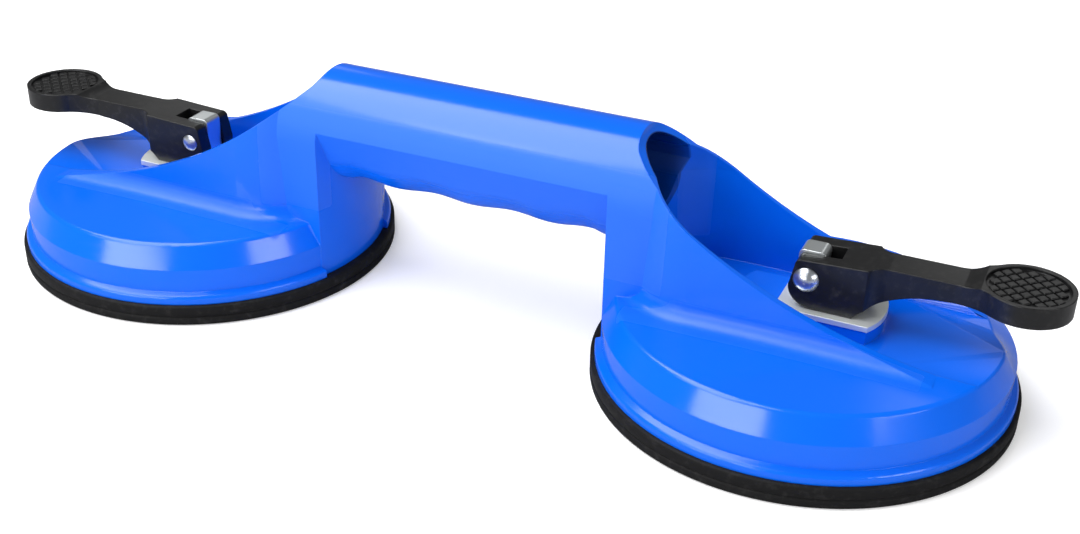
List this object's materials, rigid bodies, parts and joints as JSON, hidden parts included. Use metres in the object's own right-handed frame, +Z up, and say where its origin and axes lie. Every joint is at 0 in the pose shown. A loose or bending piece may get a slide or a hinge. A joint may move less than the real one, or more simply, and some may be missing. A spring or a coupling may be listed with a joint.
{
  "type": "floor tile suction lifter",
  "caption": "Hand lifter for tiles and glass: a hollow tubular handle joins two suction cups, each locked by a cam lever that draws its rubber pad upwards.",
  "frame": {"origin": "on the surface that the pads stand on, midway between the two cup axes", "axes": "+X along the handle towards the right cup, +Z up away from the tile, +Y across the handle"},
  "size_m": [0.3166, 0.1128, 0.0641],
  "materials": {
    "blue_plastic": "glossy moulded",
    "black_plastic": "semi-gloss moulded",
    "black_rubber": "smooth matte",
    "zinc_steel": "bright zinc plate",
    "rivet_steel": "bright zinc plate"
  },
  "bodies": {
    "root": {"housing": "blue_plastic", "right_suction_pad": "black_rubber", "left_suction_pad": "black_rubber", "right_bearing_plate": "zinc_steel", "left_bearing_plate": "zinc_steel"},
    "right_draw": {"right_drawbar": "zinc_steel", "right_pad_disc": "zinc_steel"},
    "right_lever_arm": {"right_lever": "black_plastic", "right_lever_rivet": "rivet_steel"},
    "left_draw": {"left_drawbar": "zinc_steel", "left_pad_disc": "zinc_steel"},
    "left_lever_arm": {"left_lever": "black_plastic", "left_lever_rivet": "rivet_steel"}
  },
  "joints": [
    {"name": "right_drawbar_slide", "type": "slide", "parent": "root", "child": "right_draw", "axis": [0, 0, 1], "range_m": [-0.0039, 0], "deforming": ["right_suction_pad"]},
    {"name": "right_lever_hinge", "type": "hinge", "parent": "right_draw", "child": "right_lever_arm", "pos_m": [0.0945, 0, 0.0341], "axis": [0, -1, 0], "range_deg": [0, 95]},
    {"name": "left_drawbar_slide", "type": "slide", "parent": "root", "child": "left_draw", "axis": [0, 0, 1], "range_m": [-0.0039, 0], "deforming": ["left_suction_pad"]},
    {"name": "left_lever_hinge", "type": "hinge", "parent": "left_draw", "child": "left_lever_arm", "pos_m": [-0.0945, 0, 0.0341], "axis": [0, 1, 0], "range_deg": [0, 95]}
  ],
  "couplings": [
    {"joint": "right_drawbar_slide", "follows": "right_lever_hinge", "m_per_rad": -0.0023521},
    {"joint": "left_drawbar_slide", "follows": "left_lever_hinge", "m_per_rad": -0.0023521}
  ]
}
